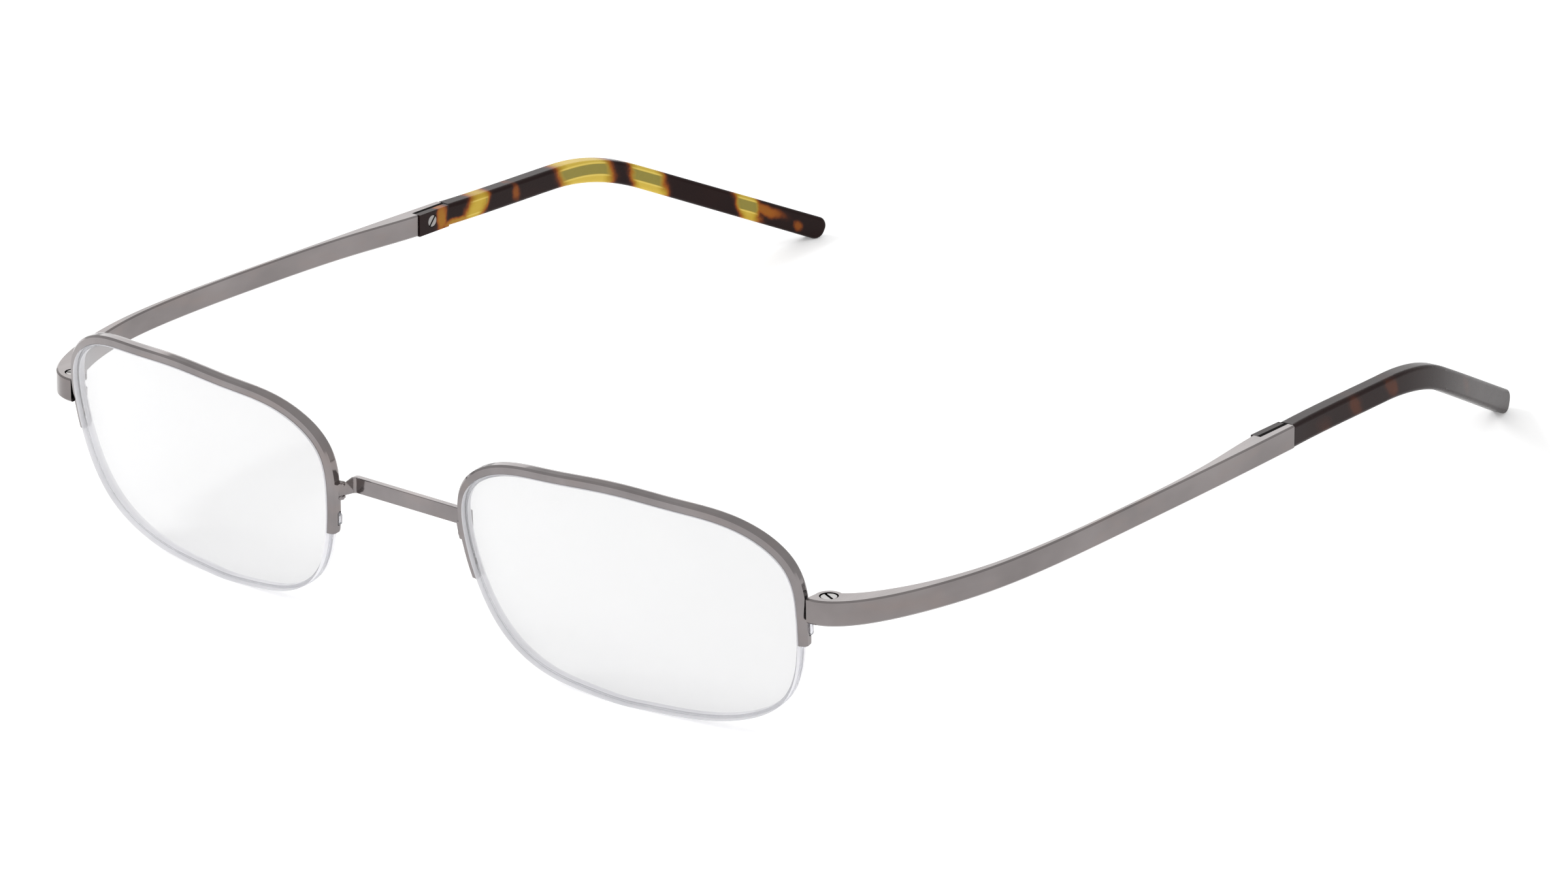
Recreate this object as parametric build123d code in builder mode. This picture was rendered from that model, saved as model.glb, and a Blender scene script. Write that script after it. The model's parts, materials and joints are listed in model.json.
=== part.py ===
"""Half rim eyeglasses with a saddle bridge, folding temples and acetate tips.

Millimetres.  +X is the wearer's left, +Y points back to the ears and +Z is up.  The glasses stand
on the lower edges of the lenses and on the ends of the temple tips.  Each piece is modelled on
the wearer's left, and the right one is its mirror image.
"""
from build123d import *
from math import cos, radians, sin, sqrt
import os

FRONT_Y = -74.43           # puts the middle of the glasses at y = 0

# Lens: shape in its own plane, with u towards the temple and v up
LENS_POINTS = [
    (0, -14.35), (7.9, -13.95), (14.9, -12.65), (20.0, -9.6), (22.4, -4.6), (23.1, 1.5),
    (22.2, 8.0), (17.6, 11.9), (8.6, 13.6), (0, 14.05), (-8.6, 13.5), (-17.6, 11.85),
    (-22.1, 8.0), (-22.6, 2.0), (-21.2, -4.3), (-18.3, -9.7), (-13.6, -12.9), (-7.0, -14.05),
]
LENS_CENTRE = (33.6, FRONT_Y, 13.982)
FACE_WRAP = 5.4             # each lens turns back towards its temple
LENS_TILT = 10.3            # the lower edge is nearer to the cheek
BASE_RADIUS = 104.0         # front curve of the rims
LENS_PROUD = 0.2            # lens face, in front of the rim's face
LENS_BACK = 1.65            # lens back, behind the rim's face
EDGE_GAP = 0.05

# Rim, liner and lens cord
RIM_THICKNESS = 1.0
RIM_DEPTH = 1.5
NASAL_END = -3.05           # heights of the rim's two lower ends
TEMPORAL_END = -1.4
FRONT_CHAMFER = 0.22
BACK_FILLET = 0.6
END_CHAMFER = 0.8
GROOVE_MID = 0.8            # middle of the lens groove, behind the rim's face
GROOVE_HALF_WIDTH = 0.29
LENS_GROOVE_DEPTH = 0.5
RIM_GROOVE_DEPTH = 0.2
CORD_RADIUS = 0.2
CORD_HALF_WIDTH = 0.27      # of the cord where it is squeezed in the lens groove
CORD_SEAT = -0.22           # cord centre, measured outwards from the lens outline
CORD_LOOP = 1.17            # the same, for the loop outside the rim's end
CORD_HOLE_RADIUS = 0.29
HOLE_SPACING = 1.4
NASAL_HOLE = NASAL_END + 1.2
TEMPORAL_HOLE = TEMPORAL_END + 1.35

# Bridge: a flat strip behind the rims, with arms that come forward to a foot on each rim
BRIDGE_THICKNESS = 0.85
BRIDGE_BOTTOM = 16.68
BRIDGE_TOP = 18.65
BRIDGE_Y = FRONT_Y + 3.0
ARM_X = 9.1
ARM_START = (9.75, FRONT_Y + 0.55)
ARM_DROP = 0.7              # the arms' top falls by this much on its way to the feet
FOOT_THICKNESS = 0.4
FOOT_HEIGHTS = (1.55, 3.75)
FOOT_DEPTHS = (0.2, 1.35)

# Hinge: all of it lies about the screw's axis, which leans in by a small angle
HINGE_CENTRE = (59.2, FRONT_Y + 6.6, 17.9)
HINGE_LEAN = 1.3
BAR_HEIGHT = 3.0
SLOT_HEIGHT = 1.3
EYE_HEIGHT = 1.0
EYE_RADIUS = 1.3
SCREW_RADIUS = 0.6
SCREW_HEAD_RADIUS = 1.05
SCREW_HEAD_HEIGHT = 0.42
HEAD_RECESS = 0.5
HEAD_GAP = 0.07
RUNNING_GAP = 0.04
NOSE_RADIUS = 1.62          # inner front corner of the temple, about the screw

# Temple and tip, in the hinge's frame
JOINT_START = 71.8          # the tip's inner flange begins here
JOINT_END = 77.6            # the outer side of the metal ends here
FLANGE_X = 8.8
TIP_THICKNESS = 2.3
TIP_HALF_HEIGHT = 1.5
TIP_END_HALF_HEIGHT = 1.6
BEND_AT = 107.3
BEND_DROP = 0.25            # the tip is this much lower where it bends than where it starts
BEND_RADIUS = 38.0
TIP_END = (144.25, -16.824)
TIP_LINE = [(8.55, JOINT_END), (8.05, 93.0), (7.3, 108.0), (2.85, 126.0), (-3.3, 145.3)]
CORE_THICKNESS = 0.8
CORE_HEIGHT = 1.1
TONGUE_HEIGHT = 2.0
TONGUE_END = 84.3
CORE_END = 138.0
TIP_SCREW_AT = (74.3, 0.1)
TIP_SCREW_HEAD_RADIUS = 0.85
TIP_SCREW_HEAD_HEIGHT = 0.4
TIP_SCREW_RADIUS = 0.45
TIP_SCREW_POINT = 9.35

wrap = radians(FACE_WRAP)
tilt = radians(LENS_TILT)
lean = radians(HINGE_LEAN)
lens_plane = Plane(
    origin=LENS_CENTRE,
    x_dir=(cos(wrap), sin(wrap), 0),
    z_dir=(sin(wrap) * cos(tilt), -cos(wrap) * cos(tilt), -sin(tilt)),
)
hinge_plane = Plane(
    origin=HINGE_CENTRE, x_dir=(cos(lean), 0, sin(lean)), z_dir=(-sin(lean), 0, cos(lean))
)
side_plane = Plane(origin=HINGE_CENTRE, x_dir=(0, 1, 0), z_dir=hinge_plane.x_dir)
hinge_axis = Axis(HINGE_CENTRE, hinge_plane.z_dir)
BASE = (Align.CENTER, Align.CENTER, Align.MIN)
lens_curve = Edge.make_spline([Vector(*point) for point in LENS_POINTS], periodic=True)


def lens_outline(grow, steps=60):
    """The lens shape, grown outwards."""
    fractions = [step / steps for step in range(steps)]
    with BuildSketch() as shape:
        with BuildLine():
            Spline(
                *[lens_curve @ t + (lens_curve % t).rotate(Axis.Z, -90) * grow for t in fractions],
                periodic=True,
            )
        make_face()
    return shape.sketch


def band(inner, outer, nasal_end, temporal_end, above=True):
    """The strip along the lens outline, above or below its two ends."""
    cut_side = Align.MAX if above else Align.MIN
    with BuildSketch() as shape:
        add(lens_outline(outer))
        add(lens_outline(inner), mode=Mode.SUBTRACT)
        with Locations((0, nasal_end)):
            Rectangle(40, 40, align=(Align.MAX, cut_side), mode=Mode.SUBTRACT)
        with Locations((0, temporal_end)):
            Rectangle(40, 40, align=(Align.MIN, cut_side), mode=Mode.SUBTRACT)
    return shape.sketch


def curved_layer(shape, front, back):
    """A flat shape made into a layer between two depths behind the rim's spherical face."""
    with BuildPart() as layer:
        with BuildSketch(lens_plane):
            add(shape)
        extrude(amount=12, both=True)
        with Locations(lens_plane.location * Location((0, 0, -BASE_RADIUS))):
            Sphere(BASE_RADIUS - front, rotation=(90, 0, 0), mode=Mode.INTERSECT)
            Sphere(BASE_RADIUS - back, rotation=(90, 0, 0), mode=Mode.SUBTRACT)
    return layer.part


def groove_strip(inner, outer, half_width, nasal_end, temporal_end, above=True):
    """A strip that lies along the lens groove."""
    return curved_layer(
        band(inner, outer, nasal_end, temporal_end, above),
        GROOVE_MID - half_width,
        GROOVE_MID + half_width,
    )


def outline_u(v, side):
    """Where the lens outline crosses a height, on the nasal (-1) or the temporal (1) side."""
    crossings = lens_outline(0).edges()[0].intersect(Edge.make_line((0, v), (side * 40, v)))
    return crossings.vertices()[0].X


def rim_point(v, side, outwards, behind=GROOVE_MID):
    """A point beside the rim's end, in the lens plane's frame."""
    u = outline_u(v, side) + side * outwards
    depth = BASE_RADIUS - sqrt((BASE_RADIUS - behind) ** 2 - u ** 2 - v ** 2)
    return Vector(u, v, -depth)


def cord_corners(v, side):
    """Where the cord leaves the lens groove for a hole, and where it turns outside the hole."""
    return [
        lens_plane.from_local_coords(rim_point(v, side, outwards))
        for outwards in (CORD_SEAT, CORD_LOOP)
    ]


def export_node(part, name):
    part.label = name
    export_step(part, f"parts/{name}.step")


def export_pair(part, name):
    """Writes the left piece and its mirror image."""
    export_node(part, f"{name}_left")
    with BuildPart() as right:
        mirror(part, about=Plane.YZ)
    export_node(right.part, f"{name}_right")


rim_ends = [(-1, NASAL_END, NASAL_HOLE), (1, TEMPORAL_END, TEMPORAL_HOLE)]


def make_rim():
    """Upper half rim: grooved inside, softened outside, with two cord holes in each end."""
    with BuildPart() as rim:
        add(curved_layer(band(0, RIM_THICKNESS, NASAL_END, TEMPORAL_END), 0, RIM_DEPTH))
        outer_edges = rim.edges().filter_by(lambda edge: edge.length > 40).sort_by(Axis.Z)[-2:]
        chamfer(outer_edges.sort_by(Axis.Y)[0], FRONT_CHAMFER)
        outer_edges = rim.edges().filter_by(lambda edge: edge.length > 40).sort_by(Axis.Z)[-2:]
        fillet(outer_edges.sort_by(Axis.Y)[-1], BACK_FILLET)
        for side, end, hole in rim_ends:
            corner = rim_point(end, side, RIM_THICKNESS / 2, RIM_DEPTH)
            with Locations(lens_plane.location * Location(corner, (45, 0, 0))):
                Box(4, END_CHAMFER, END_CHAMFER, mode=Mode.SUBTRACT)
            for v in (hole, hole + HOLE_SPACING):
                seat, loop = cord_corners(v, side)
                with Locations(Plane(seat, z_dir=loop - seat).location):
                    Cylinder(CORD_HOLE_RADIUS, 2.5, align=BASE, mode=Mode.SUBTRACT)
        add(
            groove_strip(-0.2, RIM_GROOVE_DEPTH, GROOVE_HALF_WIDTH, -20, -20),
            mode=Mode.SUBTRACT,
        )
    return rim.part


def make_liner():
    """Clear strip that fills the groove between the rim and the lens."""
    strip = groove_strip(
        -LENS_GROOVE_DEPTH + EDGE_GAP,
        RIM_GROOVE_DEPTH,
        GROOVE_HALF_WIDTH - 0.04,
        NASAL_HOLE + HOLE_SPACING + 0.5,
        TEMPORAL_HOLE + HOLE_SPACING + 0.5,
    )
    return strip


def make_lens():
    """Lens with a groove all round its edge."""
    with BuildPart() as lens:
        add(curved_layer(lens_outline(-EDGE_GAP), -LENS_PROUD, LENS_BACK))
        add(
            groove_strip(-LENS_GROOVE_DEPTH, 2, GROOVE_HALF_WIDTH, -20, -20),
            mode=Mode.SUBTRACT,
        )
    return lens.part


def make_cord():
    """Nylon cord: round the lower half of the lens, out through one hole and back in by the next."""
    overlap = 0.35
    with BuildPart() as cord:
        add(
            groove_strip(
                CORD_SEAT - CORD_HALF_WIDTH,
                CORD_SEAT + CORD_HALF_WIDTH,
                CORD_HALF_WIDTH,
                NASAL_HOLE + overlap,
                TEMPORAL_HOLE + overlap,
                above=False,
            )
        )
        for side, _, hole in rim_ends:
            low = cord_corners(hole, side)
            high = cord_corners(hole + HOLE_SPACING, side)
            with BuildLine() as loop:
                FilletPolyline(*low, *high[::-1], radius=0.3)
            with BuildSketch(Plane(loop.line @ 0, z_dir=loop.line % 0)):
                Circle(CORD_RADIUS)
            sweep(path=loop.line)
    return cord.part


def make_bridge_foot(rim):
    """Plate soldered to the nose side of the rim."""
    low, high = FOOT_HEIGHTS
    with BuildSketch() as plate:
        add(lens_outline(RIM_THICKNESS + FOOT_THICKNESS))
        add(lens_outline(RIM_THICKNESS / 2), mode=Mode.SUBTRACT)
        with Locations((-20, (low + high) / 2)):
            Rectangle(20, high - low, mode=Mode.INTERSECT)
    with BuildPart() as foot:
        add(curved_layer(plate.sketch, *FOOT_DEPTHS))
        add(rim, mode=Mode.SUBTRACT)
    return foot.part


def lens_block(grow):
    """Everything inside the lens outline, grown outwards, in front of it and behind it."""
    with BuildPart() as block:
        with BuildSketch(lens_plane):
            add(lens_outline(grow))
        extrude(amount=12, both=True)
    return block.part


def make_bridge():
    """Saddle bridge: one bent strip from foot to foot."""
    start_x, start_y = ARM_START
    with BuildPart() as bridge:
        with BuildSketch(Plane.XY.offset(BRIDGE_BOTTOM)):
            with BuildLine():
                FilletPolyline(
                    (start_x, start_y),
                    (ARM_X, BRIDGE_Y),
                    (-ARM_X, BRIDGE_Y),
                    (-start_x, start_y),
                    radius=0.8,
                )
                offset(amount=BRIDGE_THICKNESS / 2)
            make_face()
        extrude(amount=BRIDGE_TOP - BRIDGE_BOTTOM)
        chamfer(bridge.faces().sort_by(Axis.Z)[-1].edges(), 0.08)
        chamfer(bridge.faces().sort_by(Axis.Z)[0].edges(), 0.08)
        with BuildSketch(Plane.YZ):
            with BuildLine():
                Polyline(
                    (BRIDGE_Y - 0.6, BRIDGE_TOP), (start_y - 0.3, BRIDGE_TOP - ARM_DROP),
                    (start_y - 2, BRIDGE_TOP), close=True,
                )
            make_face()
        extrude(amount=15, both=True, mode=Mode.SUBTRACT)
        beyond_foot = lens_block(RIM_THICKNESS + FOOT_THICKNESS)
        add(beyond_foot, mode=Mode.SUBTRACT)
        mirror(beyond_foot, about=Plane.YZ, mode=Mode.SUBTRACT)
    return bridge.part


def make_hinge_eye(rim):
    """Knuckle on a short arm, soldered to the temple side of the rim."""
    arm_start, arm_width = -2.55, 0.8
    with BuildPart() as eye:
        with BuildSketch(hinge_plane.offset(-EYE_HEIGHT / 2)):
            Circle(EYE_RADIUS)
            with Locations((arm_start, -1.05)):
                Rectangle(-arm_start, arm_width, align=(Align.MIN, Align.CENTER))
            Circle(SCREW_RADIUS + RUNNING_GAP, mode=Mode.SUBTRACT)
        extrude(amount=EYE_HEIGHT)
        add(rim, mode=Mode.SUBTRACT)
    return eye.part


def make_washers():
    """Two thin washers, above and below the eye."""
    thickness = (SLOT_HEIGHT - EYE_HEIGHT) / 2 - RUNNING_GAP
    heights = [EYE_HEIGHT / 2 + RUNNING_GAP, -SLOT_HEIGHT / 2]
    with BuildPart() as washers:
        for height in heights:
            with BuildSketch(hinge_plane.offset(height)):
                Circle(EYE_RADIUS)
                Circle(SCREW_RADIUS + RUNNING_GAP, mode=Mode.SUBTRACT)
            extrude(amount=thickness)
    return washers.part


def make_hinge_screw():
    """Slotted pan screw whose shaft is the hinge's pin."""
    head_bottom = BAR_HEIGHT / 2 - HEAD_RECESS
    with BuildPart() as screw:
        with BuildSketch(hinge_plane.offset(-BAR_HEIGHT / 2)):
            Circle(SCREW_RADIUS)
        extrude(amount=BAR_HEIGHT / 2 + head_bottom)
        with BuildSketch(hinge_plane.offset(head_bottom)):
            Circle(SCREW_HEAD_RADIUS)
        extrude(amount=SCREW_HEAD_HEIGHT)
        chamfer(screw.faces().sort_by(hinge_axis)[-1].edges(), 0.12)
        with Locations(hinge_plane.location * Location((0, 0, head_bottom + SCREW_HEAD_HEIGHT), (0, 0, -27))):
            Box(2.4 * SCREW_HEAD_RADIUS, 0.32, 0.44, mode=Mode.SUBTRACT)
    return screw.part


def temple_plan():
    """The temple seen from above: thick at the hinge, thin along the side, thick at the tip."""
    with BuildSketch() as plan:
        with BuildLine():
            outer = Spline(
                (-1.6, -2.15), (1.0, -1.65), (2.9, -0.1), (5.0, 3.1), (7.3, 9.1), (9.05, 16.5),
                (10.1, 27.5), (10.25, 43.0), (10.1, 62.0), (9.75, JOINT_END),
            )
            Polyline(
                outer @ 1, (FLANGE_X, JOINT_END), (FLANGE_X, JOINT_START), (7.6, JOINT_START)
            )
            inner = Spline(
                (7.6, JOINT_START), (8.1, 66.9), (8.8, 61.0), (9.2, 55.6), (9.5, 44.0),
                (9.25, 28.0), (8.1, 17.6), (5.5, 8.9), (3.5, 5.0), (1.45, 2.35),
                (NOSE_RADIUS * cos(radians(75)), NOSE_RADIUS * sin(radians(75))),
            )
            nose = CenterArc((0, 0), NOSE_RADIUS, 75, 120)
            Line(nose @ 1, outer @ 0)
        make_face()
    return plan.sketch


def make_temple():
    """Temple bar: hinge pocket at the front, half-lap and blind screw hole at the back."""
    with BuildPart() as temple:
        with BuildSketch(hinge_plane.offset(-BAR_HEIGHT / 2)):
            add(temple_plan())
        extrude(amount=BAR_HEIGHT)
        rims = temple.faces().sort_by(hinge_axis)
        long_edges = [e for face in (rims[0], rims[-1]) for e in face.edges() if e.length > 40]
        chamfer(long_edges, 0.2)
        with BuildSketch(hinge_plane.offset(-SLOT_HEIGHT / 2)):
            Circle(EYE_RADIUS + 0.12)
            with BuildLine():
                Polyline((0, -1.55), (-2.2, -1.6), (-4, 0), (-3, 4), (0.4, 4), (0.4, 0), close=True)
            make_face()
        extrude(amount=SLOT_HEIGHT, mode=Mode.SUBTRACT)
        with Locations(hinge_plane.location):
            Cylinder(SCREW_RADIUS, BAR_HEIGHT + 1, mode=Mode.SUBTRACT)
        with BuildSketch(hinge_plane.offset(BAR_HEIGHT / 2 - HEAD_RECESS)):
            Circle(SCREW_HEAD_RADIUS + HEAD_GAP)
        extrude(amount=1, mode=Mode.SUBTRACT)
        with Locations(tip_screw_location(FLANGE_X)):
            Cylinder(TIP_SCREW_RADIUS, TIP_SCREW_POINT - FLANGE_X, align=BASE, mode=Mode.SUBTRACT)
    return temple.part


def tip_screw_location(x):
    """A place on the tip screw's axis, with Z pointing out through the temple's side."""
    y, z = TIP_SCREW_AT
    return hinge_plane.location * Location((x, y, z), (0, 90, 0))


def tip_plan(half_thickness):
    """The tip seen from above, as a ribbon along its centre line."""
    points = [Vector(*point) for point in TIP_LINE]
    middle = Edge.make_spline(points)
    fractions = [step / 8 for step in range(9)]
    left, right = (
        [middle @ t + (middle % t).rotate(Axis.Z, turn) * half_thickness for t in fractions]
        for turn in (90, -90)
    )
    with BuildSketch() as plan:
        with BuildLine():
            Spline(*left)
            Spline(*right)
            Line(left[0], right[0])
            Line(left[-1], right[-1])
        make_face()
    return plan.sketch


def bent_side(low_start, low_end, high_start, high_end, end):
    """Side view of a bar that runs straight back and then bends down, cut square at its end."""
    slope = (TIP_END[1] + BEND_DROP) / (TIP_END[0] - BEND_AT)
    length = sqrt(1 + slope ** 2)
    across = (-slope / length, 1 / length)
    centre = (end, slope * (end - BEND_AT) - BEND_DROP)

    def edge_points(start_offset, end_offset):
        corner_shift = -start_offset * slope / (1 + length)
        return [
            (JOINT_END, start_offset),
            (BEND_AT + corner_shift, start_offset - BEND_DROP),
            (centre[0] + across[0] * end_offset, centre[1] + across[1] * end_offset),
        ]

    low = edge_points(low_start, low_end)
    high = edge_points(high_start, high_end)
    with BuildSketch() as side:
        with BuildLine():
            FilletPolyline(*low, radius=BEND_RADIUS - low_start)
            FilletPolyline(*high, radius=BEND_RADIUS - high_start)
            Line(low[0], high[0])
            Line(low[-1], high[-1])
        make_face()
    return side.sketch


def bent_bar(half_thickness, side):
    """The solid that has the tip's plan, at some thickness, and the given side view."""
    with BuildPart() as bar:
        with BuildSketch(hinge_plane.offset(-30)):
            add(tip_plan(half_thickness))
        extrude(amount=40)
        with BuildSketch(side_plane):
            add(side)
        extrude(amount=30, both=True, mode=Mode.INTERSECT)
    return bar.part


def make_tip_core():
    """Metal core inside the tip: a flat tongue, then a thin wire."""
    wire = bent_side(-CORE_HEIGHT / 2, -CORE_HEIGHT / 2, CORE_HEIGHT / 2, CORE_HEIGHT / 2, CORE_END)
    tongue_length = TONGUE_END - JOINT_END
    with BuildSketch() as tongue:
        with Locations((JOINT_END, 0)):
            Rectangle(tongue_length, TONGUE_HEIGHT, align=(Align.MIN, Align.CENTER))
    with BuildPart() as core:
        add(bent_bar(CORE_THICKNESS / 2, wire))
        add(bent_bar(CORE_THICKNESS / 2, tongue.sketch))
    return core.part


def make_tip(core):
    """Acetate tip, with an inner flange that laps the temple and takes the screw."""
    side = bent_side(
        -TIP_HALF_HEIGHT, -TIP_END_HALF_HEIGHT, TIP_HALF_HEIGHT, TIP_END_HALF_HEIGHT, TIP_END[0]
    )
    inner_x = TIP_LINE[0][0] - TIP_THICKNESS / 2
    with BuildPart() as tip:
        add(bent_bar(TIP_THICKNESS / 2, side))
        end_face = tip.faces().sort_by(Axis.Y)[-1]
        fillet(end_face.edges().sort_by(Axis.Z)[0::3], 1.4)
        long_edges = tip.edges().filter_by(lambda edge: edge.length > 5)
        fillet(long_edges, 0.5)
        with BuildSketch(hinge_plane.offset(-BAR_HEIGHT / 2)):
            with BuildLine():
                Polyline(
                    (inner_x, JOINT_START), (FLANGE_X, JOINT_START), (FLANGE_X, JOINT_END),
                    (inner_x, JOINT_END), close=True,
                )
            make_face()
        extrude(amount=BAR_HEIGHT)
        with Locations(tip_screw_location(inner_x)):
            Cylinder(TIP_SCREW_RADIUS, FLANGE_X - inner_x, align=BASE, mode=Mode.SUBTRACT)
            Cylinder(TIP_SCREW_HEAD_RADIUS, TIP_SCREW_HEAD_HEIGHT, align=BASE, mode=Mode.SUBTRACT)
        add(core, mode=Mode.SUBTRACT)
    return tip.part


def make_tip_screw():
    """Slotted screw from the inner side, through the tip's flange into the temple."""
    inner_x = TIP_LINE[0][0] - TIP_THICKNESS / 2
    with BuildPart() as screw:
        with Locations(tip_screw_location(inner_x)):
            Cylinder(TIP_SCREW_RADIUS, TIP_SCREW_POINT - inner_x, align=BASE)
            Cylinder(TIP_SCREW_HEAD_RADIUS, TIP_SCREW_HEAD_HEIGHT, align=BASE)
        chamfer(screw.edges().sort_by(Axis.X)[0], 0.08)
        with Locations(tip_screw_location(inner_x) * Location((0, 0, 0), (0, 0, -40))):
            Box(2.4 * TIP_SCREW_HEAD_RADIUS, 0.26, 0.4, mode=Mode.SUBTRACT)
    return screw.part


os.makedirs("parts", exist_ok=True)
rim = make_rim()
core = make_tip_core()
pairs = {
    "rim": rim,
    "rim_liner": make_liner(),
    "lens": make_lens(),
    "lens_cord": make_cord(),
    "bridge_foot": make_bridge_foot(rim),
    "hinge_eye": make_hinge_eye(rim),
    "hinge_washers": make_washers(),
    "hinge_screw": make_hinge_screw(),
    "temple": make_temple(),
    "tip": make_tip(core),
    "tip_core": core,
    "tip_screw": make_tip_screw(),
}
for name, piece in pairs.items():
    export_pair(piece, name)
export_node(make_bridge(), "bridge")
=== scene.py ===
"""Looks of the half rim eyeglasses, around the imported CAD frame. Metres, +Y towards the ears, +Z up."""
import json
from math import cos, radians, sin

import bmesh
import bpy
from mathutils import Matrix, Vector


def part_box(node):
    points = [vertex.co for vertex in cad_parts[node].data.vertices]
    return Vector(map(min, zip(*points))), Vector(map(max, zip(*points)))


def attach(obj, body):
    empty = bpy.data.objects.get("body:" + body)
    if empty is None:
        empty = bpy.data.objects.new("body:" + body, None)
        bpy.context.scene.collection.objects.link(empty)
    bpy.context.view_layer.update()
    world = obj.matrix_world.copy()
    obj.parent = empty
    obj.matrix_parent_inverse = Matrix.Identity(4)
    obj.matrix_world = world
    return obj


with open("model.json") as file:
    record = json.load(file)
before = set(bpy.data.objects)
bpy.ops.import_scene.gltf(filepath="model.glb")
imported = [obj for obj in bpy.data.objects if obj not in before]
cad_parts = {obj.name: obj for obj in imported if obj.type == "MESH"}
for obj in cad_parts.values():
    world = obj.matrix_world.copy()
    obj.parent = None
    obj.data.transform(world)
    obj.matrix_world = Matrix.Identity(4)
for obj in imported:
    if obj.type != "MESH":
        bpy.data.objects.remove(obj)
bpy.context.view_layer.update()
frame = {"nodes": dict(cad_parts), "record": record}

# ---------------------------------------------------------------- camera
CAMERA_AZIMUTH = radians(38.76)
CAMERA_ELEVATION = radians(20.35)
CAMERA_PLACE = Vector((0.45824, -0.57290, 0.27682))
FOCAL_LENGTH = 142.5


def make_camera():
    a, e = CAMERA_AZIMUTH, CAMERA_ELEVATION
    back = Vector((sin(a) * cos(e), -cos(a) * cos(e), sin(e)))
    right = Vector((cos(a), sin(a), 0))
    up = back.cross(right)
    data = bpy.data.cameras.new("camera")
    data.lens = FOCAL_LENGTH
    data.sensor_width = 36
    data.clip_start = 0.01
    data.clip_end = 20
    camera = bpy.data.objects.new("camera", data)
    turn = Matrix((right, up, back)).transposed()
    camera.matrix_world = Matrix.Translation(CAMERA_PLACE) @ turn.to_4x4()
    bpy.context.scene.collection.objects.link(camera)
    bpy.context.scene.camera = camera


# ---------------------------------------------------------------- shader nodes
BUMP_DEPTH = 0.00002


class Graph:
    """The shader nodes of one material."""

    def __init__(self, name):
        self.material = bpy.data.materials.new(name)
        self.material.use_nodes = True
        self.nodes = self.material.node_tree.nodes
        self.links = self.material.node_tree.links
        self.shader = self.nodes["Principled BSDF"]

    def feed(self, socket, value):
        """Links a socket to another one, or sets its number, vector or colour."""
        if isinstance(value, bpy.types.NodeSocket):
            self.links.new(value, socket)
        elif socket.type == "RGBA":
            socket.default_value = (*value, 1)
        else:
            socket.default_value = value

    def shade(self, **values):
        """Feeds the Principled shader's inputs; _ stands for a space in their names."""
        for key, value in values.items():
            self.feed(self.shader.inputs[key.replace("_", " ")], value)

    def add(self, kind, inputs, **settings):
        node = self.nodes.new("ShaderNode" + kind)
        for key, value in settings.items():
            setattr(node, key, value)
        for key, value in inputs.items():
            self.feed(node.inputs[key], value)
        return node

    def math(self, operation, *values):
        return self.add("Math", dict(enumerate(values)), operation=operation).outputs["Value"]

    def mix(self, factor, a, b, blend="MIX"):
        """Mixes two colours."""
        inputs = {"Factor": factor, 6: a, 7: b}
        return self.add("Mix", inputs, data_type="RGBA", blend_type=blend).outputs[2]

    def ramp(self, source, stops):
        """A colour ramp: stops are (position, grey or colour)."""
        node = self.add("ValToRGB", {"Fac": source})
        elements = node.color_ramp.elements
        while len(elements) < len(stops):
            elements.new(0.5)
        for element, (position, value) in zip(elements, stops):
            colour = value if hasattr(value, "__len__") else (value,) * 3
            element.position = position
            element.color = (*colour, 1)
        return node.outputs["Color"]

    def smooth(self, source, start, end, low=0.0, high=1.0):
        """Goes smoothly from low to high while the source goes from start to end."""
        inputs = {"Value": source, "From Min": start, "From Max": end, "To Min": low, "To Max": high}
        return self.add("MapRange", inputs, interpolation_type="SMOOTHSTEP").outputs["Result"]

    def coords(self, kind):
        return self.add("TexCoord", {}).outputs[kind]

    def axes(self, kind):
        """X, Y and Z of a point's place on the object, or of its normal."""
        return self.add("SeparateXYZ", {"Vector": self.coords(kind)}).outputs[:3]

    def noise(self, scale, detail=3.0, roughness=0.55):
        mapping = self.add("Mapping", {"Vector": self.coords("Object"), "Scale": scale})
        inputs = {"Vector": mapping.outputs["Vector"], "Scale": 1.0, "Detail": detail, "Roughness": roughness}
        return self.add("TexNoise", inputs).outputs["Fac"]

    def bump(self, height, strength):
        inputs = {"Height": height, "Strength": strength, "Distance": BUMP_DEPTH}
        return self.add("Bump", inputs).outputs["Normal"]


# ---------------------------------------------------------------- metal
TONE_CHANGE = 0.12          # how much lighter or darker the cloudy tones go
WARM_GAIN = (1.12, 1.02, 0.96)
# how far the painted shade in crevices looks for nearby surfaces
CREVICE_SHADE_REACH = 0.0005
BEVEL_STEEPNESS = 0.7       # a bevel's normal has about this much Z
BEVEL_ROUGHNESS = 0.05


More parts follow.
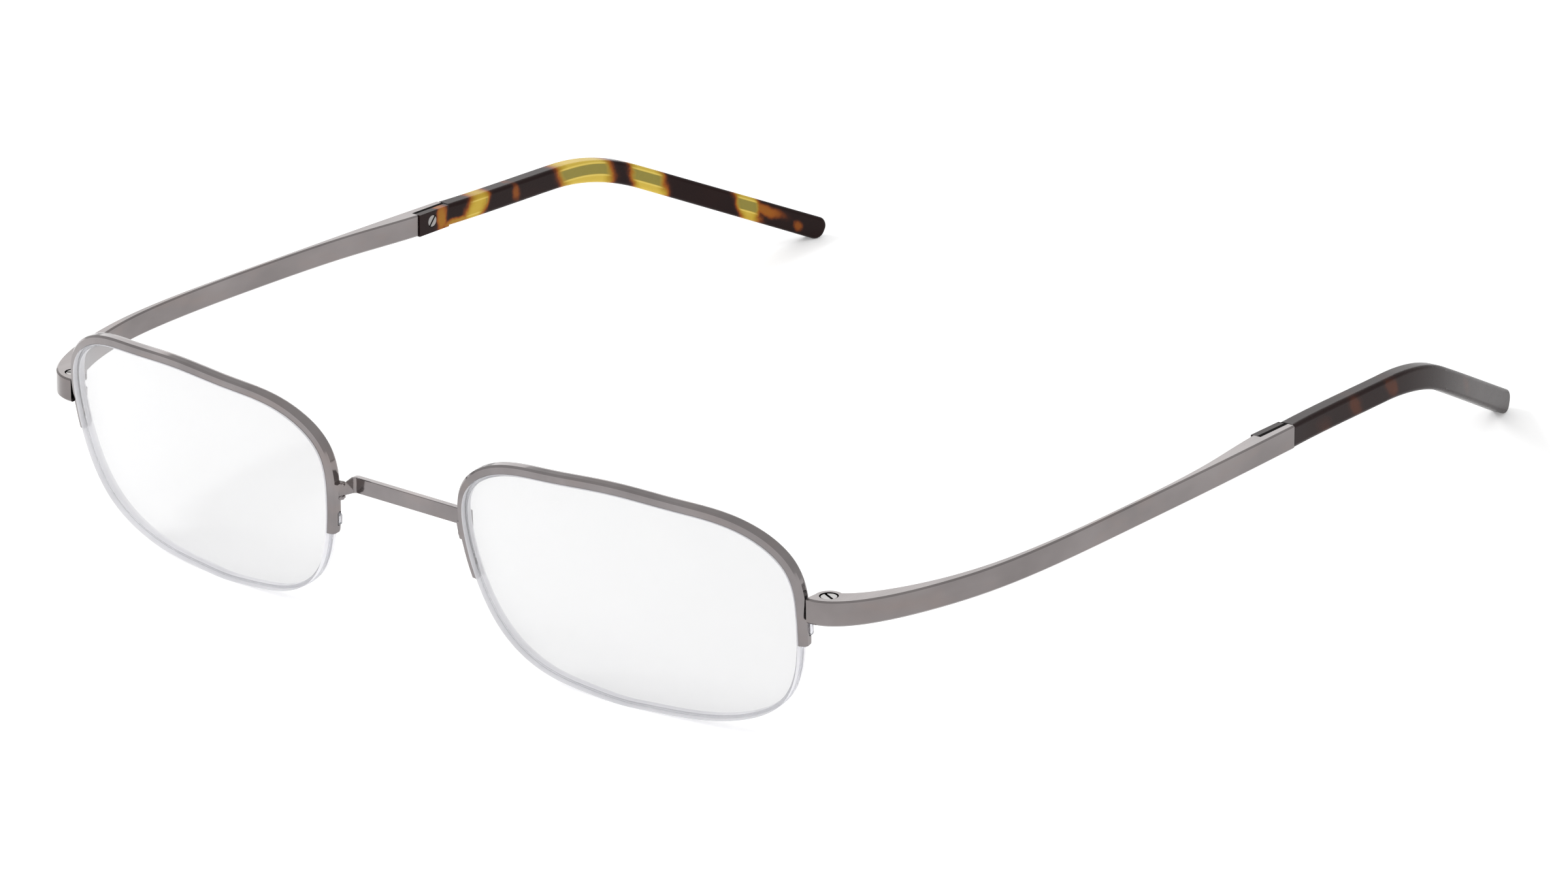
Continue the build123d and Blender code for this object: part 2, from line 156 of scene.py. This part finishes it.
def metal(name, colour, roughness, grain=(900, 60, 900), crevice_shade=True):
    """Satin metal with cloudy tones, polished bevels and, unless it is turned off, painted shade that darkens
    its crevices.
    """
    graph = Graph(name)
    brushed = graph.noise(grain, roughness=0.6)
    cloudy = graph.noise((170, 75, 170))
    warm = graph.noise((140, 150, 400), detail=2.0)
    darker = tuple(c * (1 - TONE_CHANGE) for c in colour)
    lighter = tuple(c * (1 + TONE_CHANGE) for c in colour)
    warmer = tuple(c * gain for c, gain in zip(colour, WARM_GAIN))
    tone = graph.ramp(cloudy, [(0.3, darker), (0.7, lighter)])
    tone = graph.mix(graph.ramp(warm, [(0.5, 0.0), (0.75, 0.5)]), tone, warmer)
    # painted shade: ambient occlusion darkens the colour in crevices, slots and gaps
    if crevice_shade:
        openness = graph.add("AmbientOcclusion", {"Distance": CREVICE_SHADE_REACH}).outputs["AO"]
        shade = graph.ramp(openness, [(0.55, 0.02), (0.93, 1.0)])
        tone = graph.mix(1.0, tone, shade, blend="MULTIPLY")

    steep = graph.math("ABSOLUTE", graph.axes("Normal")[2])
    off_bevel = graph.math("ABSOLUTE", graph.math("SUBTRACT", steep, BEVEL_STEEPNESS))
    bevel = graph.math("LESS_THAN", off_bevel, 0.12)
    satin = graph.ramp(brushed, [(0.3, roughness * 0.85), (0.7, roughness * 1.2)])
    graph.shade(
        Metallic=1.0,
        Base_Color=tone,
        Roughness=graph.mix(bevel, satin, (BEVEL_ROUGHNESS,) * 3),
        Normal=graph.bump(brushed, 0.012),
    )
    return graph.material


# ---------------------------------------------------------------- lens and cord
# The left lens's axis meets its rim's spherical front here, as in the CAD model
LENS_AXIS = (0.0926, -0.9795, -0.1788)
RIM_FRONT = (0.0336, -0.07443, 0.013982)
RIM_FRONT_RADIUS = 0.104
FACE_ALPHA = [(0.3, 0.252), (0.7, 0.268)]
FACE_TINT = (0.545, 0.545, 0.555)
# tint of the edge wall: a frosted edge's own colour, brightened as painted light for the light the lens
# carries to its edge
EDGE_TINT = [(0.3, (0.86, 0.855, 0.89)), (0.7, (0.91, 0.905, 0.94))]
EDGE_ALPHA_FRONT = 0.85
EDGE_ALPHA_BACK = 0.7


def lens_material():
    """Clear faces with a faint haze. The edge wall and its groove show as a pale band: partly because they
    are frosted, and partly as painted light that stands in for light the lens carries to its edge.
    """
    graph = Graph("lens_clear")
    x, y, z = graph.axes("Object")
    normal = graph.axes("Normal")

    # the angle between a point's normal and the lens's axis, which is mirrored on the right side
    axis_x = graph.math("MULTIPLY", graph.math("SIGN", x), LENS_AXIS[0])
    along = graph.math("MULTIPLY", normal[0], axis_x)
    along = graph.math("MULTIPLY_ADD", normal[1], LENS_AXIS[1], along)
    along = graph.math("MULTIPLY_ADD", normal[2], LENS_AXIS[2], along)
    is_edge = graph.math("LESS_THAN", graph.math("ABSOLUTE", along), 0.6)

    # how far a point lies behind the rim's spherical front, where the pale edge band fades a little
    squares = []
    for place, middle, axis in zip((graph.math("ABSOLUTE", x), y, z), RIM_FRONT, LENS_AXIS):
        offset = graph.math("SUBTRACT", place, middle - axis * RIM_FRONT_RADIUS)
        squares.append(graph.math("MULTIPLY", offset, offset))
    total = graph.math("ADD", graph.math("ADD", *squares[:2]), squares[2])
    depth = graph.math("SUBTRACT", RIM_FRONT_RADIUS, graph.math("SQRT", total))
    edge_alpha = graph.smooth(depth, 0.0004, 0.0008, EDGE_ALPHA_FRONT, EDGE_ALPHA_BACK)

    # the pale edge band: frosted colour plus painted light
    ground_edge_and_painted_light = graph.ramp(graph.noise((500, 500, 500)), EDGE_TINT)
    haze = graph.ramp(graph.noise((60, 60, 60)), FACE_ALPHA)
    graph.shade(
        Base_Color=graph.mix(is_edge, FACE_TINT, ground_edge_and_painted_light),
        Alpha=graph.mix(is_edge, haze, edge_alpha),
        Roughness=0.06,
    )
    return graph.material


def nylon_material():
    """Clear nylon, slightly milky."""
    graph = Graph("clear_nylon")
    milky = graph.ramp(graph.noise((700, 700, 700)), [(0.3, (0.86, 0.86, 0.91)), (0.7, (0.94, 0.94, 0.97))])
    graph.shade(Base_Color=milky, Roughness=0.25, Transmission_Weight=0.75, IOR=1.45)
    return graph.material


# ---------------------------------------------------------------- tortoise acetate
# The tips' centre line: level at first, then it eases into a slope down to the end
TIP_LEVEL = 0.0180
BEND_Y = 0.0395
BEND_EASE = 0.0085
BEND_SLOPE = -0.4486

# Patches of each tip: Y of the middle, half length, height over the centre line, half height, lean, strength
RIGHT_PATCHES = [
    (0.0084, 0.0010, 0.0000, 0.0024, 0.0, 0.58),
    (0.0118, 0.0040, -0.0011, 0.0006, 0.0, 0.64),
    (0.0150, 0.0022, 0.0001, 0.0028, -0.5, 0.88),
    (0.0227, 0.0009, 0.0002, 0.0014, 0.3, 0.44),
    (0.0365, 0.0048, 0.0000, 0.0066, 0.2, 1.10),
    (0.0477, 0.0028, 0.0000, 0.0066, 0.3, 1.05),
    (0.0637, 0.0021, 0.0003, 0.0034, 0.2, 0.95),
    (0.0664, 0.0034, 0.0000, 0.0009, 0.0, 0.52),
    (0.0716, 0.0008, -0.0009, 0.0009, 0.0, 0.44),
]
LEFT_PATCHES = [
    (0.0167, 0.0016, -0.0006, 0.0012, 0.3, 0.18),
    (0.0236, 0.0013, 0.0001, 0.0016, 0.4, 0.235),
    (0.0320, 0.0014, 0.0001, 0.0015, 0.5, 0.25),
    (0.0552, 0.0013, 0.0000, 0.0011, 0.3, 0.20),
]
TORTOISE = [
    (0.00, (0.0140, 0.0054, 0.0050)), (0.18, (0.030, 0.0092, 0.0062)), (0.36, (0.13, 0.030, 0.006)),
    (0.50, (0.30, 0.085, 0.009)), (0.66, (0.38, 0.19, 0.017)), (0.86, (0.52, 0.35, 0.038)),
    (1.0, (0.64, 0.46, 0.070)),
]
CORE_COLOUR = (0.235, 0.205, 0.048)
CORE_HALF_HEIGHT = 0.00073
CORE_START_Y = 0.0168
CORE_LINE = 0.00088         # a bright line runs this far above and below the core's middle
CORE_LINE_COLOUR = (0.84, 0.66, 0.17)

# Painted shade between the metal and the tip, by the metal's end and along the top of the lap, where the
# lap's edge lies in shadow
METAL_END = max(v.co.y for v in frame["nodes"]["temple_left"].data.vertices)
LAP_SIDE = max(v.co.x for v in frame["nodes"]["tip_left"].data.vertices if v.co.y < METAL_END - 0.001)
PAINTED_SHADE_COLOUR = (0.005, 0.004, 0.004)


def patch(graph, y, height, wobble, shape):
    """How much of one tortoise patch there is at a point, from 0 to its strength."""
    middle, half, level, half_height, lean, strength = shape
    along = graph.math("MULTIPLY_ADD", height, lean, y)
    along = graph.math("MULTIPLY_ADD", wobble, 0.0022, along)
    along = graph.math("MULTIPLY_ADD", along, 1 / half, -middle / half)
    across = graph.math("MULTIPLY_ADD", wobble, -0.0012, height)
    across = graph.math("MULTIPLY_ADD", across, 1 / half_height, -level / half_height)
    square = graph.math(
        "ADD", graph.math("MULTIPLY", along, along), graph.math("MULTIPLY", across, across)
    )
    return graph.smooth(square, 2.0, 0.0, high=strength)


def tortoise_amount(graph, x, y, height):
    """How yellow a point is, from 0 to 1, by the patches of the tip that it is on."""
    wobble = graph.math("SUBTRACT", graph.noise((330, 330, 330), detail=4.0), 0.5)
    amounts = []
    for patches, side in ((RIGHT_PATCHES, "LESS_THAN"), (LEFT_PATCHES, "GREATER_THAN")):
        total = 0.0
        for shape in patches:
            total = graph.math("MAXIMUM", patch(graph, y, height, wobble, shape), total)
        amounts.append(graph.math("MULTIPLY", total, graph.math(side, x, 0.0)))
    return graph.math("MINIMUM", graph.math("ADD", *amounts), 1.0)


def add_core(graph, colour, y, height, amount):
    """Where the acetate is clear enough, its metal core shows as an olive band between two bright lines."""
    clear = graph.ramp(amount, [(0.6, 0.0), (0.85, 0.9)])
    offset = graph.math("ABSOLUTE", height)
    soft = 0.00007
    in_core = graph.smooth(offset, CORE_HALF_HEIGHT + soft, CORE_HALF_HEIGHT - soft)
    in_core = graph.math("MULTIPLY", in_core, graph.math("GREATER_THAN", y, CORE_START_Y))
    colour = graph.mix(graph.math("MULTIPLY", in_core, clear), colour, CORE_COLOUR)
    off_line = graph.math("ABSOLUTE", graph.math("SUBTRACT", offset, CORE_LINE))
    bright = graph.math("MULTIPLY", graph.smooth(off_line, 0.00016, 0.00004), clear)
    return graph.mix(graph.math("MULTIPLY", bright, 0.6), colour, CORE_LINE_COLOUR)


def painted_shade_amount(graph, x, y):
    """1 on the line of painted shade: across the metal's end on all sides but the inner, and along the lap's
    top.
    """
    normal = graph.axes("Normal")
    outwards = graph.math("MULTIPLY", normal[0], graph.math("SIGN", x))
    at_end = graph.math("GREATER_THAN", y, METAL_END - 0.0001)
    at_end = graph.math("MULTIPLY", at_end, graph.math("GREATER_THAN", outwards, -0.4))
    beside_metal = graph.math("GREATER_THAN", graph.math("ABSOLUTE", x), LAP_SIDE - 0.0006)
    on_top = graph.math("MULTIPLY", graph.math("GREATER_THAN", normal[2], 0.4), beside_metal)
    near_end = graph.math("LESS_THAN", y, METAL_END + 0.00018)
    return graph.math("MULTIPLY", near_end, graph.math("MAXIMUM", at_end, on_top))


def acetate_material():
    """Dark tortoise acetate, with yellow patches on the right tip and faint brown ones on the left, and a
    line of painted shade where the tip meets the metal's end.
    """
    graph = Graph("tip_acetate")
    x, y, z = graph.axes("Object")
    past_bend = graph.math("SMOOTH_MAX", graph.math("SUBTRACT", y, BEND_Y), 0.0, BEND_EASE)
    height = graph.math("SUBTRACT", z, graph.math("MULTIPLY_ADD", past_bend, BEND_SLOPE, TIP_LEVEL))

    amount = tortoise_amount(graph, x, y, height)
    mottle = graph.math("SUBTRACT", graph.noise((300, 160, 300), detail=4.0), 0.45)
    colour = graph.ramp(graph.math("MULTIPLY_ADD", mottle, 0.13, amount), TORTOISE)
    colour = add_core(graph, colour, y, height, amount)
    # painted shade: the line where the metal meets the tip is painted near black and made rough
    painted_shade = painted_shade_amount(graph, x, y)
    satin = graph.noise((700, 240, 700), detail=1.0)
    gloss = graph.ramp(satin, [(0.3, 0.265), (0.7, 0.28)])
    graph.shade(
        Base_Color=graph.mix(painted_shade, colour, PAINTED_SHADE_COLOUR),
        Roughness=graph.mix(painted_shade, gloss, (0.95, 0.95, 0.95)),
        Normal=graph.bump(satin, 0.002),
        Specular_IOR_Level=0.1,
    )
    return graph.material


# ---------------------------------------------------------------- materials of the CAD pieces
materials = {
    "rim_metal": metal("rim_metal", (0.236, 0.217, 0.217), 0.10, crevice_shade=False),
    "temple_metal": metal("temple_metal", (0.219, 0.199, 0.197), 0.19, grain=(2500, 60, 2500)),
    "screw_metal": metal("screw_metal", (0.30, 0.29, 0.285), 0.16, grain=(3000, 3000, 3000)),
    "washer_plastic": metal("washer_plastic", (0.30, 0.29, 0.28), 0.4),
    "lens_clear": lens_material(),
    "clear_nylon": nylon_material(),
    "tip_acetate": acetate_material(),
    "core_metal": metal("core_metal", (0.6, 0.58, 0.54), 0.3),
}
for entry in frame["record"]["subparts"]:
    node = frame["nodes"][entry["node"]]
    node.data.materials.clear()
    node.data.materials.append(materials[entry["material_slot"]])


# ---------------------------------------------------------------- solder beads
def make_bead(name, place, size):
    """A small lumpy bead of solder, wider than it is high."""
    bead = bmesh.new()
    bmesh.ops.create_uvsphere(bead, u_segments=24, v_segments=16, radius=1.0)
    for vertex in bead.verts:
        way = vertex.co.normalized()
        lump = 1 + 0.10 * sin(5 * way.x + 3 * way.z) * cos(4 * way.y)
        vertex.co = Vector(place) + Vector(c * s * lump for c, s in zip(way, size))
    for face in bead.faces:
        face.smooth = True
    mesh = bpy.data.meshes.new(name)
    bead.to_mesh(mesh)
    bead.free()
    mesh.materials.append(materials["rim_metal"])
    obj = bpy.data.objects.new(name, mesh)
    bpy.context.scene.collection.objects.link(obj)
    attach(obj, "front")


def make_beads():
    """Two beads at each end of the bridge, where its arm meets the plate on the rim."""
    low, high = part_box("bridge_foot_left")
    inner_x = low[0] + 0.0002
    middle_y = (low[1] + high[1]) / 2
    for side, sign in (("left", 1), ("right", -1)):
        for level, (height, depth, size) in enumerate((
            (low[2] + 0.0005, middle_y + 0.0001, (0.00035, 0.00045, 0.00038)),
            (high[2] - 0.00035, middle_y + 0.0003, (0.00032, 0.00040, 0.00030)),
        )):
            make_bead(f"solder_bead_{side}_{level}", (sign * inner_x, depth, height), size)


make_beads()


# ---------------------------------------------------------------- studio
FLOOR_REACH = 4
WORLD_STRENGTH = 0.8


def make_floor():
    """A plain pale floor that glows a little, which keeps its shadows soft."""
    corners = [(x * FLOOR_REACH, y * FLOOR_REACH, 0) for x, y in ((-1, -1), (1, -1), (1, 1), (-1, 1))]
    mesh = bpy.data.meshes.new("floor")
    mesh.from_pydata(corners, [], [(0, 1, 2, 3)])
    floor = bpy.data.objects.new("floor", mesh)
    bpy.context.scene.collection.objects.link(floor)
    graph = Graph("floor")
    graph.shade(
        Base_Color=(0.92, 0.92, 0.92),
        Roughness=0.9,
        Specular_IOR_Level=0.0,
        Emission_Color=(1, 1, 1),
        Emission_Strength=0.27,
    )
    mesh.materials.append(graph.material)


def area_light(name, place, size, power, glossy=True):
    """A rectangular lamp that points at the object."""
    data = bpy.data.lights.new(name, "AREA")
    data.shape = "RECTANGLE"
    data.size, data.size_y = size
    data.energy = power
    light = bpy.data.objects.new(name, data)
    light.location = place
    light.rotation_mode = "QUATERNION"
    light.rotation_quaternion = (-Vector(place)).to_track_quat("-Z", "Y")
    light.visible_glossy = glossy
    bpy.context.scene.collection.objects.link(light)


def make_studio():
    """White surroundings, a key lamp that shiny parts don't mirror, and a large soft lamp behind."""
    world = bpy.data.worlds.new("studio")
    world.use_nodes = True
    background = world.node_tree.nodes["Background"]
    background.inputs["Color"].default_value = (1, 1, 1, 1)
    background.inputs["Strength"].default_value = WORLD_STRENGTH
    area_light("key", (-0.65, -0.35, 0.62), (0.3, 0.3), 3.4, glossy=False)
    area_light("back", (-0.70, 0.88, 0.42), (0.9, 0.5), 1.3)
    scene = bpy.context.scene
    scene.world = world
    scene.view_settings.view_transform = "Standard"
    scene.view_settings.look = "None"


make_camera()
make_floor()
make_studio()
